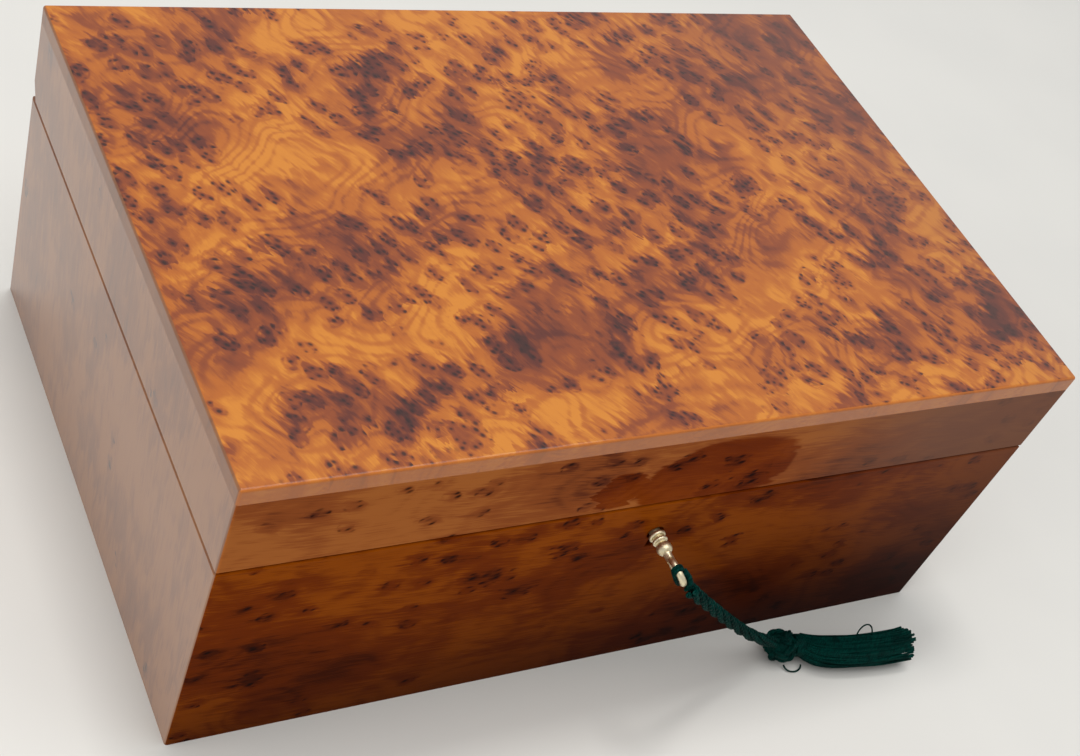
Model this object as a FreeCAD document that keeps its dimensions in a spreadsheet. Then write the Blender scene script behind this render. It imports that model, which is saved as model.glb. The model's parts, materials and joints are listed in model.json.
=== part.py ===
import FreeCAD, Part
import math
import os
import Sketcher

# A keepsake box of thuya burl: a mitred base, a flat hinged lid, a half mortise lock with its key,
# and a tassel on the key. Millimetres. The origin is at the middle of the underside of the base,
# +X to the right, +Y to the back and +Z up, so the keyhole is in the face at -Y.

doc = FreeCAD.newDocument("keepsake_box")

# Driving dimensions
DIMENSIONS = {
    # Box
    "box_length": 300,
    "box_depth": 200,
    "base_height": 88,
    "seam_gap": 0.6,
    "rail_height": 29.4,
    "top_thick": 6,
    "board_thick": 12,
    "floor_thick": 6,
    "floor_rabbet": 6,
    "arris_round": 1,
    "seam_ease": 0.5,
    "bevel_height": 8,
    "bevel_depth": 4.5,
    # Butt hinges
    "hinge_length": 45,
    "hinge_inset": 62,
    "pin_inset": 3,
    "leaf_width": 8.2,
    "leaf_thick": 1.2,
    "barrel_radius": 2.5,
    "barrel_room": 0.4,
    "hinge_pin_radius": 0.9,
    "hinge_play": 0.05,
    "knuckle_gap": 0.3,
    "knuckle_count": 5,
    # Lock
    "keyhole_drop": 15.5,
    "keyhole_radius": 3.1,
    "keyhole_slot": 2.6,
    "lock_plate_width": 48,
    "lock_plate_height": 29.5,
    "lock_case_width": 37.8,
    "lock_case_height": 26,
    "lock_case_depth": 7,
    "lock_plate_thick": 1.2,
    "lock_wall": 1,
    "selvedge_depth": 10,
    "lock_room": 0.3,
    "bit_room": 0.4,
    "drill_pin_radius": 0.85,
    "drill_pin_length": 9.5,
    # Bolt and the loops that it catches
    "bolt_thick": 1.6,
    "bolt_width": 29,
    "bolt_plate_height": 14.6,
    "bolt_stand_off": 1.6,
    "bolt_arm_width": 2,
    "bolt_arm_root": 1,
    "bolt_per_radian": 5.2,
    "talon_near": 1.6,
    "talon_far": 4.6,
    "talon_lip": 0.6,
    "talon_lip_drop": 4.6,
    "talon_ease": 0.6,
    "finger_height": 2.4,
    "finger_length": 2.8,
    "finger_drop": 3,
    "finger_ease": 0.6,
    "loop_spacing": 17,
    "loop_thick": 1.6,
    "loop_width": 4,
    "loop_drop": 7.9,
    "loop_eye_height": 3.4,
    "loop_eye_width": 2.6,
    "loop_slot_room": 0.5,
    "loop_slot_front_room": 1,
    "link_width": 46,
    "link_depth": 9,
    "link_thick": 1.2,
    "spring_width": 5,
    "spring_thick": 0.3,
    "spring_inset": 5,
    "spring_knee": 3.5,
    "spring_bend": 8,
    "spring_tail": 15,
    "spring_tail_lift": 1.3,
    # Key
    "key_turned": 33,
    "key_turn_on": 32,
    "key_end_gap": 0.5,
    "key_barrel_radius": 1.9,
    "key_play": 0.1,
    "key_bit_reach": 6.5,
    "key_bit_thick": 1.6,
    "key_bit_length": 4.4,
    "key_bit_start": 0.5,
    "key_bore_spare": 0.7,
    "key_collar_radius": 2.85,
    "key_collar_length": 1.5,
    "key_lip": 0.5,
    "key_ring_radius": 2.6,
    "key_ring_length": 1.3,
    "key_groove": 0.6,
    "key_ball_radius": 2.6,
    "key_ball_sink": 0.3,
    "key_neck_radius": 1.35,
    "key_neck_length": 1.4,
    "key_bow_length": 10.5,
    "key_bow_width": 9,
    "key_bow_wire": 1.15,
    # Cord and tassel
    "cord_radius": 2.4,
    "loop_cord_radius": 1.2,
    "loop_cord_room": 0.1,
    "head_radius": 6.5,
    "head_lift": 0.2,
    "head_out": 15,
    "head_right": 77,
    "throat_radius": 4.4,
    "throat_length": 4.3,
    "skirt_shoulder": 7,
    "skirt_radius": 6.2,
    "skirt_length": 46,
    "skirt_turn": 11,
}

sheet = doc.addObject("Spreadsheet::Sheet", "dims")
for row, (word, number) in enumerate(DIMENSIONS.items(), start=1):
    sheet.set("A%d" % row, word)
    sheet.set("B%d" % row, str(number))
    sheet.setAlias("B%d" % row, word)
doc.recompute()


class Size:
    """A length that knows its value and the sheet formula that gives it."""

    def __init__(self, value, formula):
        self.value = float(value)
        self.formula = formula

    def __add__(self, other):
        other = as_size(other)
        return Size(self.value + other.value, "(%s + %s)" % (self.formula, other.formula))

    def __sub__(self, other):
        other = as_size(other)
        return Size(self.value - other.value, "(%s - %s)" % (self.formula, other.formula))

    def __mul__(self, number):
        return Size(self.value * number, "(%s * %s)" % (self.formula, number))

    def __truediv__(self, number):
        return Size(self.value / number, "(%s / %s)" % (self.formula, number))

    def __neg__(self):
        return Size(-self.value, "(-%s)" % self.formula)


def as_size(number):
    return number if isinstance(number, Size) else Size(number, "(%s)" % number)


def size(word):
    return Size(sheet.get(word), "dims.%s" % word)


def bind(thing, prop, length):
    thing.setExpression(prop, as_size(length).formula)


sub_parts = []


def keep(thing, label):
    thing.Label = label
    sub_parts.append(thing)
    return thing


# Sketches on a body's own planes
def new_body(name):
    return doc.addObject("PartDesign::Body", name)


def new_sketch(body, name, plane, at, across=0):
    """A sketch on the plane, at that coordinate along the axis square to it.

    Its own origin lies that far across, which is where a turned shape has its axis.
    """
    sketch = body.newObject("Sketcher::SketchObject", name)
    origin = [o for o in body.Origin.OriginFeatures if o.Role == plane + "_Plane"][0]
    sketch.AttachmentSupport = [(origin, "")]
    sketch.MapMode = "FlatFace"
    along_normal = -as_size(at) if plane == "XZ" else as_size(at)
    bind(sketch, ".AttachmentOffset.Base.x", across)
    bind(sketch, ".AttachmentOffset.Base.z", along_normal)
    return sketch


def fix_point(sketch, edge, end, corner):
    for kind, distance in zip(("DistanceX", "DistanceY"), corner):
        distance = as_size(distance)
        index = sketch.addConstraint(
            Sketcher.Constraint(kind, -1, 1, edge, end, distance.value)
        )
        sketch.setExpression("Constraints[%d]" % index, distance.formula)


def add_polygon(sketch, corners):
    points = [FreeCAD.Vector(as_size(a).value, as_size(b).value, 0) for a, b in corners]
    first = sketch.GeometryCount
    count = len(points)
    for i in range(count):
        sketch.addGeometry(Part.LineSegment(points[i], points[(i + 1) % count]), False)
    for i in range(count):
        here, after = first + i, first + (i + 1) % count
        sketch.addConstraint(Sketcher.Constraint("Coincident", here, 2, after, 1))
        fix_point(sketch, here, 1, corners[i])


def add_circle(sketch, centre, radius):
    radius = as_size(radius)
    middle = FreeCAD.Vector(as_size(centre[0]).value, as_size(centre[1]).value, 0)
    edge = sketch.addGeometry(
        Part.Circle(middle, FreeCAD.Vector(0, 0, 1), radius.value), False
    )
    fix_point(sketch, edge, 3, centre)
    index = sketch.addConstraint(Sketcher.Constraint("Radius", edge, radius.value))
    sketch.setExpression("Constraints[%d]" % index, radius.formula)


def raise_sketch(body, name, sketch, plane, length, cut):
    """Pads or pockets the sketch towards the positive end of the axis square to it."""
    feature = body.newObject("PartDesign::Pocket" if cut else "PartDesign::Pad", name)
    feature.Profile = sketch
    bind(feature, "Length", length)
    feature.Reversed = (plane == "XZ") != cut
    return feature


def prism(body, name, plane, corners, at, length, cut=False):
    sketch = new_sketch(body, name + "_sketch", plane, at)
    add_polygon(sketch, corners)
    return raise_sketch(body, name, sketch, plane, length, cut)


def disc(body, name, plane, centres, radius, at, length, cut=False):
    sketch = new_sketch(body, name + "_sketch", plane, at)
    for centre in centres:
        add_circle(sketch, centre, radius)
    return raise_sketch(body, name, sketch, plane, length, cut)


def rectangle(low, high):
    return [low, (high[0], low[1]), high, (low[0], high[1])]


def turn(body, name, sketch, axis_name, cut=False):
    """Revolves the sketch about one of its own axes."""
    feature = body.newObject("PartDesign::Groove" if cut else "PartDesign::Revolution", name)
    feature.Profile = sketch
    feature.ReferenceAxis = (sketch, [axis_name])
    feature.Angle = 360
    return feature


def part_shape(kind, name, place, **lengths):
    """A primitive with its sizes and its place bound to the sheet."""
    shape = doc.addObject("Part::" + kind, name)
    for prop, length in lengths.items():
        bind(shape, prop, length)
    for axis, length in zip("xyz", place):
        bind(shape, ".Placement.Base." + axis, length)
    return shape


# Places shared by the pieces
half_length = size("box_length") / 2
half_depth = size("box_depth") / 2
board = size("board_thick")
base_top = size("base_height")
lid_bottom = base_top + size("seam_gap")
rail_top = lid_bottom + size("rail_height")
box_top = rail_top + size("top_thick")
pin_y = half_depth - size("pin_inset")
pin_z = base_top + size("barrel_radius") - size("leaf_thick")
key_z = base_top - size("keyhole_drop")

# How far a cut runs on past the face that it starts from
PAST = 2


# Outside of the closed box, with its arrises rounded, that every board is trimmed to
outer_block = doc.addObject("Part::Box", "outer_block")
bind(outer_block, "Length", half_length * 2)
bind(outer_block, "Width", half_depth * 2)
bind(outer_block, "Height", box_top)
bind(outer_block, ".Placement.Base.x", -half_length)
bind(outer_block, ".Placement.Base.y", -half_depth)
doc.recompute()
outer_form = doc.addObject("Part::Fillet", "outer_form")
outer_form.Base = outer_block
rounding = size("arris_round").value
SAME_PLACE = 0.001
outer_form.Edges = [
    (number, rounding, rounding)
    for number, edge in enumerate(outer_block.Shape.Edges, start=1)
    if edge.BoundBox.ZMax > box_top.value - SAME_PLACE
]


def trimmed(body, label):
    """The board as it is once the outside of the glued box is rounded."""
    body.Label = label + "_blank"
    common = doc.addObject("Part::Common", label)
    common.Base = body
    common.Tool = outer_form
    return keep(common, label)


# Mitred boards
def on_side(side, along, out):
    """The plan point that lies that far along a side and that far out from the middle."""
    if side in ("front", "back"):
        return (along, -out if side == "front" else out)
    return (-out if side == "left" else out, along)


def mitred_board(name, side, bottom, top):
    long, out = (
        (half_length, half_depth) if side in ("front", "back") else (half_depth, half_length)
    )
    outline = [
        on_side(side, -long, out),
        on_side(side, long, out),
        on_side(side, long - board, out - board),
        on_side(side, board - long, out - board),
    ]
    body = new_body(name + "_body")
    prism(body, name + "_stock", "XY", outline, bottom, top - bottom)
    return body


def ease_seam(body, name, side, level, upwards):
    """Takes the outer arris off a board at the seam."""
    ease = size("seam_ease")
    plane = "YZ" if side in ("front", "back") else "XZ"
    out, reach = (
        (half_depth, half_length) if plane == "YZ" else (half_length, half_depth)
    )
    sign = -1 if side in ("front", "left") else 1
    beyond = 1 if upwards else -1
    triangle = [
        ((out + PAST) * sign, level - (ease + PAST) * -beyond),
        ((out - ease - PAST) * sign, level - PAST * beyond),
        ((out + PAST) * sign, level - PAST * beyond),
    ]
    prism(body, name + "_ease", plane, triangle, -reach, reach * 2, cut=True)


def bevel_back(body, name):
    """Slopes the lower back edge of the lid, which makes room for the lid to swing."""
    corners = [
        (half_depth - size("bevel_depth"), lid_bottom),
        (half_depth, lid_bottom + size("bevel_height")),
        (half_depth + PAST, lid_bottom + size("bevel_height")),
        (half_depth + PAST, lid_bottom - PAST),
        (half_depth - size("bevel_depth"), lid_bottom - PAST),
    ]
    prism(body, name + "_bevel", "YZ", corners, -half_length, half_length * 2, cut=True)


# Hinges
hinge_x = {"left": size("hinge_inset") - half_length, "right": half_length - size("hinge_inset")}


def hinge_room(body, name, level_low, level_high):
    """The recess for a leaf and the hollow round the barrel, once for each hinge."""
    for side, middle in hinge_x.items():
        half = size("hinge_length") / 2
        prism(
            body,
            "%s_%s_recess" % (name, side),
            "XY",
            rectangle(
                (middle - half, pin_y - size("leaf_width")),
                (middle + half, half_depth + PAST),
            ),
            level_low,
            level_high - level_low,
            cut=True,
        )
        disc(
            body,
            "%s_%s_hollow" % (name, side),
            "YZ",
            [(pin_y, pin_z)],
            size("barrel_radius") + size("barrel_room"),
            middle - half - size("barrel_room"),
            size("hinge_length") + size("barrel_room") * 2,
            cut=True,
        )


def hinge_leaf(side, owner, plate_low):
    """A leaf with its knuckles: the base leaf has the odd ones and the lid leaf the even ones."""
    label = "hinge_%s_%s_leaf" % (side, owner)
    body = new_body(label)
    middle = hinge_x[side]
    half = size("hinge_length") / 2
    thick = size("leaf_thick")
    room = size("barrel_radius") + size("barrel_room")
    prism(
        body,
        label + "_plate",
        "XY",
        rectangle(
            (middle - half, pin_y - size("leaf_width")), (middle + half, pin_y - room)
        ),
        plate_low,
        thick,
    )
    count = int(size("knuckle_count").value)
    pitch = size("hinge_length") / count
    owned = range(0, count, 2) if owner == "base" else range(1, count, 2)
    for number in owned:
        first = number == 0
        last = number == count - 1
        start = middle - half + pitch * number
        if not first:
            start = start + size("knuckle_gap") / 2
        stop = middle - half + pitch * (number + 1)
        if not last:
            stop = stop - size("knuckle_gap") / 2
        knuckle = "%s_knuckle_%d" % (label, number + 1)
        disc(body, knuckle, "YZ", [(pin_y, pin_z)], size("barrel_radius"), start, stop - start)
        prism(
            body,
            knuckle + "_web",
            "XY",
            rectangle((start, pin_y - room), (stop, pin_y)),
            plate_low,
            thick,
        )
    play = 0 if owner == "base" else size("hinge_play")
    disc(
        body,
        label + "_bore",
        "YZ",
        [(pin_y, pin_z)],
        size("hinge_pin_radius") + play,
        middle - half,
        size("hinge_length"),
        cut=True,
    )
    return keep(body, label)


def hinge(side):
    hinge_leaf(side, "base", base_top - size("leaf_thick"))
    hinge_leaf(side, "lid", pin_z - size("leaf_thick") / 2)
    pin = part_shape(
        "Cylinder",
        "hinge_%s_pin" % side,
        (hinge_x[side] - size("hinge_length") / 2, pin_y, pin_z),
        Radius=size("hinge_pin_radius"),
        Height=size("hinge_length"),
    )
    pin.Placement.Rotation = FreeCAD.Rotation(FreeCAD.Vector(0, 1, 0), 90)
    keep(pin, "hinge_%s_pin" % side)


# Lock: places that its parts, the board and the key share
inner_face = board - half_depth
plate_front = inner_face - size("lock_plate_thick")
case_front = plate_front - size("lock_case_depth")
cap_back = case_front + size("lock_wall")
case_low = base_top - size("lock_case_height")
selvedge_low = base_top - size("lock_plate_thick")
selvedge_front = inner_face - size("selvedge_depth")
plate_half = size("lock_plate_width") / 2
plate_low = base_top - size("lock_plate_height")
case_half = size("lock_case_width") / 2
bolt_back = plate_front - size("bolt_stand_off")
bolt_front = bolt_back - size("bolt_thick")
finger_top = base_top - size("finger_drop")
finger_low = finger_top - size("finger_height")
loop_y = (bolt_back + bolt_front) / 2
loop_places = [-size("loop_spacing") / 2, size("loop_spacing") / 2]
link_back = inner_face - size("lock_room")
link_front = link_back - size("link_depth")
link_half = size("link_width") / 2
drill_tip = inner_face - size("drill_pin_length")
bit_foot = key_z - size("key_bit_reach") - size("bit_room")

# How far one shape of a piece runs into the next, so that they are one solid
JOIN = 0.2


def key_slot(width):
    """The slot under the keyhole that lets the bit through."""
    return rectangle((-width / 2, bit_foot), (width / 2, key_z))


# Base
def base_front_board():
    body = mitred_board("base_front", "front", Size(0, "0"), base_top)
    floor_room(body, "base_front")
    ease_seam(body, "base_front", "front", base_top, False)
    prism(
        body,
        "plate_recess",
        "XZ",
        rectangle((-plate_half, plate_low), (plate_half, base_top + PAST)),
        plate_front,
        size("lock_plate_thick") + PAST,
        cut=True,
    )
    pocket_half = case_half + size("lock_room")
    prism(
        body,
        "lock_mortise",
        "XZ",
        rectangle(
            (-pocket_half, case_low - size("lock_room")), (pocket_half, base_top + PAST)
        ),
        case_front - size("lock_room"),
        size("lock_case_depth") + size("lock_room") + PAST,
        cut=True,
    )
    prism(
        body,
        "selvedge_recess",
        "XY",
        rectangle((-plate_half, selvedge_front), (plate_half, inner_face + PAST)),
        selvedge_low,
        size("lock_plate_thick") + PAST,
        cut=True,
    )
    disc(
        body,
        "keyhole",
        "XZ",
        [(0, key_z)],
        size("keyhole_radius"),
        -half_depth - PAST,
        board,
        cut=True,
    )
    prism(
        body,
        "keyhole_slot",
        "XZ",
        key_slot(size("keyhole_slot")),
        -half_depth - PAST,
        board,
        cut=True,
    )
    return trimmed(body, "base_front_board")


def floor_outline():
    across = half_length - board + size("floor_rabbet")
    deep = half_depth - board + size("floor_rabbet")
    return rectangle((-across, -deep), (across, deep))


def floor_room(body, name):
    prism(
        body,
        name + "_rabbet",
        "XY",
        floor_outline(),
        Size(0, "0"),
        size("floor_thick"),
        cut=True,
    )


def base_back_board():
    body = mitred_board("base_back", "back", Size(0, "0"), base_top)
    floor_room(body, "base_back")
    hinge_room(body, "base_back", base_top - size("leaf_thick"), base_top + PAST)
    return trimmed(body, "base_back_board")


def base_side_board(side):
    name = "base_" + side
    body = mitred_board(name, side, Size(0, "0"), base_top)
    floor_room(body, name)
    ease_seam(body, name, side, base_top, False)
    return trimmed(body, name + "_board")


def base_floor_panel():
    body = new_body("base_floor_panel")
    prism(body, "floor", "XY", floor_outline(), Size(0, "0"), size("floor_thick"))
    return keep(body, "base_floor_panel")


# Lid
def lid_top_panel():
    body = new_body("lid_top")
    outline = rectangle((-half_length, -half_depth), (half_length, half_depth))
    prism(body, "lid_top_board", "XY", outline, rail_top, size("top_thick"))
    return trimmed(body, "lid_top_panel")


def lid_front_rail():
    body = mitred_board("lid_front", "front", lid_bottom, rail_top)
    ease_seam(body, "lid_front", "front", lid_bottom, True)
    prism(
        body,
        "link_recess",
        "XY",
        rectangle((-link_half, link_front), (link_half, link_back)),
        lid_bottom - PAST,
        size("link_thick") + PAST,
        cut=True,
    )
    return trimmed(body, "lid_front_rail")


def lid_back_rail():
    body = mitred_board("lid_back", "back", lid_bottom, rail_top)
    bevel_back(body, "lid_back")
    hinge_room(body, "lid_back", lid_bottom - PAST, pin_z + size("leaf_thick") / 2)
    return trimmed(body, "lid_back_rail")


def lid_side_rail(side):
    name = "lid_" + side
    body = mitred_board(name, side, lid_bottom, rail_top)
    ease_seam(body, name, side, lid_bottom, True)
    bevel_back(body, name)
    return trimmed(body, name + "_rail")


# Lock
def lock_case():
    """Back plate, selvedge and walls, open at the front, where the cap closes it."""
    body = new_body("lock_case")
    prism(
        body,
        "back_plate",
        "XZ",
        rectangle((-plate_half, plate_low), (plate_half, base_top)),
        plate_front,
        size("lock_plate_thick"),
    )
    prism(
        body,
        "selvedge",
        "XY",
        rectangle((-plate_half, selvedge_front), (plate_half, inner_face)),
        selvedge_low,
        size("lock_plate_thick"),
    )
    walls_long = plate_front - cap_back
    prism(
        body,
        "walls",
        "XZ",
        rectangle((-case_half, case_low), (case_half, selvedge_low)),
        cap_back,
        walls_long,
    )
    wall = size("lock_wall")
    prism(
        body,
        "chamber",
        "XZ",
        rectangle((wall - case_half, case_low + wall), (case_half - wall, selvedge_low)),
        cap_back,
        walls_long,
        cut=True,
    )
    slot_half = size("loop_thick") / 2 + size("loop_slot_room")
    for number, x in enumerate(loop_places, start=1):
        slot = rectangle(
            (x - slot_half, loop_y - size("loop_width") / 2 - size("loop_slot_front_room")),
            (x + slot_half, loop_y + size("loop_width") / 2 + size("loop_slot_room")),
        )
        prism(
            body,
            "loop_slot_%d" % number,
            "XY",
            slot,
            selvedge_low - PAST,
            size("lock_plate_thick") + PAST * 2,
            cut=True,
        )
    disc(
        body,
        "drill_pin_hole",
        "XZ",
        [(0, key_z)],
        size("drill_pin_radius"),
        plate_front,
        size("lock_plate_thick"),
        cut=True,
    )
    return keep(body, "lock_case")


def lock_cap():
    body = new_body("lock_cap")
    prism(
        body,
        "cap_plate",
        "XZ",
        rectangle((-case_half, case_low), (case_half, selvedge_low)),
        case_front,
        size("lock_wall"),
    )
    disc(
        body,
        "cap_keyhole",
        "XZ",
        [(0, key_z)],
        size("key_barrel_radius") + size("key_play"),
        case_front,
        size("lock_wall"),
        cut=True,
    )
    prism(
        body,
        "cap_slot",
        "XZ",
        key_slot(size("key_bit_thick") + size("lock_room") * 2),
        case_front,
        size("lock_wall"),
        cut=True,
    )
    return keep(body, "lock_cap")


def lock_drill_pin():
    """The post that the key's hollow barrel turns on."""
    pin = part_shape(
        "Cylinder",
        "lock_drill_pin",
        (0, inner_face, key_z),
        Radius=size("drill_pin_radius"),
        Height=size("drill_pin_length"),
    )
    pin.Placement.Rotation = FreeCAD.Rotation(FreeCAD.Vector(1, 0, 0), 90)
    return keep(pin, "lock_drill_pin")


def travel(degrees):
    """How far the bolt slides while the key turns so many degrees."""
    return size("bolt_per_radian") * math.radians(degrees)


def lock_bolt():
    """The bolt plate, with the talon that the key's bit drives and two fingers for the loops."""
    body = new_body("lock_bolt")
    low = case_low + size("lock_wall") + size("lock_room")
    high = low + size("bolt_plate_height")
    half = size("bolt_width") / 2
    thick = size("bolt_thick")
    prism(body, "bolt_plate", "XZ", rectangle((-half, low), (half, high)), bolt_front, thick)
    root_low = high - size("bolt_arm_root")
    ease = size("finger_ease")
    for number, x in enumerate(loop_places, start=1):
        tip = x - size("loop_thick") / 2 - size("bit_room")
        root = tip - size("finger_length")
        arm_left = root - size("bolt_arm_width")
        outline = [
            (arm_left, root_low),
            (root, root_low),
            (root, finger_low),
            (tip, finger_low),
            (tip, finger_top - ease),
            (tip - ease, finger_top),
            (arm_left, finger_top),
        ]
        prism(body, "bolt_finger_%d" % number, "XZ", outline, bolt_front, thick)
    clear = size("key_barrel_radius") + size("bit_room")
    left = -clear - travel(size("key_turn_on").value)
    right = clear + travel(size("key_turned").value)
    opening = [
        (left, key_z + clear),
        (right, key_z + clear),
        (right, key_z - clear),
        (size("talon_far"), key_z - clear - size("talon_ease")),
        (size("talon_far"), bit_foot),
        (size("talon_near"), bit_foot),
        (size("talon_near"), key_z - size("talon_lip_drop")),
        (-size("talon_lip"), key_z - clear),
        (left, key_z - clear),
    ]
    prism(body, "bolt_talon", "XZ", opening, bolt_front, thick, cut=True)
    return keep(body, "lock_bolt")


def lock_spring():
    """A bent leaf, fixed to the cap, that bears on the face of the bolt."""
    thick = size("spring_thick")
    near_bolt = bolt_front - size("lock_room")
    low = case_low + size("lock_wall") + size("lock_room")
    knee = low + size("spring_knee")
    bend = low + size("spring_bend")
    tail = low + size("spring_tail")
    lift = cap_back + size("spring_tail_lift")
    profile = [
        (cap_back, low),
        (cap_back + thick, low),
        (cap_back + thick, knee),
        (near_bolt, bend),
        (lift + thick, tail),
        (lift, tail),
        (near_bolt - thick, bend),
        (cap_back, knee),
    ]
    body = new_body("lock_spring")
    left = size("lock_wall") + size("spring_inset") - case_half
    prism(body, "leaf", "YZ", profile, left, size("spring_width"))
    return keep(body, "lock_spring")


def link_plate():
    """The plate let into the lid, with the two loops that drop into the lock."""
    body = new_body("link_plate")
    prism(
        body,
        "link_bar",
        "XY",
        rectangle((-link_half, link_front), (link_half, link_back)),
        lid_bottom,
        size("link_thick"),
    )
    radius = size("loop_width") / 2
    low = lid_bottom - size("loop_drop")
    eye_middle = (finger_low + finger_top) / 2
    for number, x in enumerate(loop_places, start=1):
        left = x - size("loop_thick") / 2
        name = "loop_%d" % number
        prism(
            body,
            name,
            "YZ",
            rectangle((loop_y - radius, low + radius), (loop_y + radius, lid_bottom + JOIN)),
            left,
            size("loop_thick"),
        )
        disc(
            body,
            name + "_end",
            "YZ",
            [(loop_y, low + radius)],
            radius,
            left,
            size("loop_thick"),
        )
        eye_half = size("loop_eye_width") / 2
        eye_rise = size("loop_eye_height") / 2
        eye = rectangle(
            (loop_y - eye_half, eye_middle - eye_rise), (loop_y + eye_half, eye_middle + eye_rise)
        )
        prism(body, name + "_eye", "YZ", eye, left, size("loop_thick"), cut=True)
    return keep(body, "link_plate")


# Key, drawn with its bit down and its origin on the front face, then turned as photographed
KEY_TURN = FreeCAD.Rotation(FreeCAD.Vector(0, -1, 0), size("key_turned").value)


def place_on_key(thing):
    thing.Placement.Rotation = KEY_TURN
    bind(thing, ".Placement.Base.y", -half_depth)
    bind(thing, ".Placement.Base.z", key_z)


collar_start = size("key_groove")
collar_end = collar_start + size("key_collar_length")
ring_start = collar_end + size("key_groove")
ring_end = ring_start + size("key_ring_length")
ball_middle = ring_end + size("key_ball_radius") - size("key_ball_sink")
bow_start = ball_middle + size("key_ball_radius") + size("key_neck_length")
bow_end = bow_start + size("key_bow_length")
bow_arc = size("key_bow_width") / 2 - size("key_bow_wire")
arc_near = bow_start + size("key_bow_wire") + bow_arc
arc_far = bow_end - size("key_bow_wire") - bow_arc


# Degrees past the widest part of the ball at which its facets meet
BALL_ANGLES = range(-48, 61, 18)


def turned_profile(barrel_end):
    """Half the key's lengthwise section: barrel, collar, ring, ball and neck, as (radius, y)."""
    barrel = size("key_barrel_radius")
    collar = size("key_collar_radius")
    ring = size("key_ring_radius")
    lip = size("key_lip")
    ball = [
        (
            size("key_ball_radius") * math.cos(math.radians(angle)),
            -ball_middle - size("key_ball_radius") * math.sin(math.radians(angle)),
        )
        for angle in BALL_ANGLES
    ]
    return [
        (0, barrel_end),
        (barrel, barrel_end),
        (barrel, -collar_start),
        (collar - lip, -collar_start),
        (collar, -collar_start - lip),
        (collar, -collar_end + lip),
        (collar - lip, -collar_end),
        (barrel, -collar_end),
        (barrel, -ring_start),
        (ring - lip, -ring_start),
        (ring, -ring_start - lip),
        (ring, -ring_end + lip),
        (ring - lip, -ring_end),
        *ball,
        (size("key_neck_radius"), -ball_middle - size("key_ball_radius")),
        (size("key_neck_radius"), -bow_start - size("key_bow_wire")),
        (0, -bow_start - size("key_bow_wire")),
    ]


def key():
    body = new_body("key")
    barrel_end = plate_front - size("key_end_gap") + half_depth
    sketch = new_sketch(body, "turned_sketch", "XY", 0)
    add_polygon(sketch, turned_profile(barrel_end))
    turn(body, "turned", sketch, "V_Axis")
    key_bow(body)
    bit_start = barrel_end - size("key_bit_start") - size("key_bit_length")
    bit_half = size("key_bit_thick") / 2
    prism(
        body,
        "bit",
        "XZ",
        rectangle((-bit_half, -size("key_bit_reach")), (bit_half, Size(0, "0"))),
        bit_start,
        size("key_bit_length"),
    )
    bore_start = drill_tip + half_depth - size("key_bore_spare")
    disc(
        body,
        "bore",
        "XZ",
        [(0, 0)],
        size("drill_pin_radius") + size("key_play"),
        bore_start,
        barrel_end - bore_start,
        cut=True,
    )
    place_on_key(body)
    return keep(body, "key")


# Flats round a wire or a cord whose section is drawn as a polygon
WIRE_SIDES = 8


def ring_outline(middle, radius, sides):
    """A regular outline round the point that lies that far out from the axis."""
    angles = [math.pi * (2 * number + 1) / sides for number in range(sides)]
    return [(middle + radius * math.cos(angle), radius * math.sin(angle)) for angle in angles]


def key_bow(body):
    """The oval ring: a wire that runs round two half circles joined by straights."""
    path = new_sketch(body, "bow_path", "YZ", 0)
    near = FreeCAD.Vector(-arc_near.value, 0, 0)
    far = FreeCAD.Vector(-arc_far.value, 0, 0)
    up = FreeCAD.Vector(0, bow_arc.value, 0)
    normal = FreeCAD.Vector(0, 0, 1)
    near_arc = path.addGeometry(
        Part.ArcOfCircle(Part.Circle(near, normal, bow_arc.value), -math.pi / 2, math.pi / 2),
        False,
    )
    far_arc = path.addGeometry(
        Part.ArcOfCircle(
            Part.Circle(far, normal, bow_arc.value), math.pi / 2, 3 * math.pi / 2
        ),
        False,
    )
    top = path.addGeometry(Part.LineSegment(near + up, far + up), False)
    bottom = path.addGeometry(Part.LineSegment(far - up, near - up), False)
    for first, first_end, second, second_end in (
        (near_arc, 2, top, 1),
        (top, 2, far_arc, 1),
        (far_arc, 2, bottom, 1),
        (bottom, 2, near_arc, 1),
    ):
        path.addConstraint(
            Sketcher.Constraint("Coincident", first, first_end, second, second_end)
        )
    fix_point(path, near_arc, 3, (-arc_near, 0))
    fix_point(path, far_arc, 3, (-arc_far, 0))
    fix_point(path, top, 1, (-arc_near, bow_arc))
    fix_point(path, far_arc, 1, (-arc_far, bow_arc))
    path.addConstraint(Sketcher.Constraint("Vertical", near_arc, 1, near_arc, 2))
    path.addConstraint(Sketcher.Constraint("Vertical", far_arc, 1, far_arc, 2))
    section = new_sketch(body, "bow_section", "XZ", -(arc_near + arc_far) / 2)
    wire = ring_outline(bow_arc, size("key_bow_wire"), WIRE_SIDES)
    add_polygon(section, [(across, out) for out, across in wire])
    pipe = body.newObject("PartDesign::AdditivePipe", "bow")
    pipe.Profile = section
    pipe.Spine = (path, ["Edge%d" % number for number in range(1, 5)])
    return pipe


# Cord and tassel
def tassel_loop():
    """The turn of the cord round the outer end of the bow."""
    cord = size("loop_cord_radius")
    reach = size("key_bow_wire") + size("loop_cord_room") + cord
    body = new_body("tassel_loop")
    sketch = new_sketch(body, "loop_sketch", "XZ", size("key_bow_wire") - bow_end)
    add_polygon(sketch, ring_outline(reach, cord, WIRE_SIDES))
    turn(body, "loop_ring", sketch, "V_Axis")
    place_on_key(body)
    return keep(body, "tassel_loop")


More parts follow.
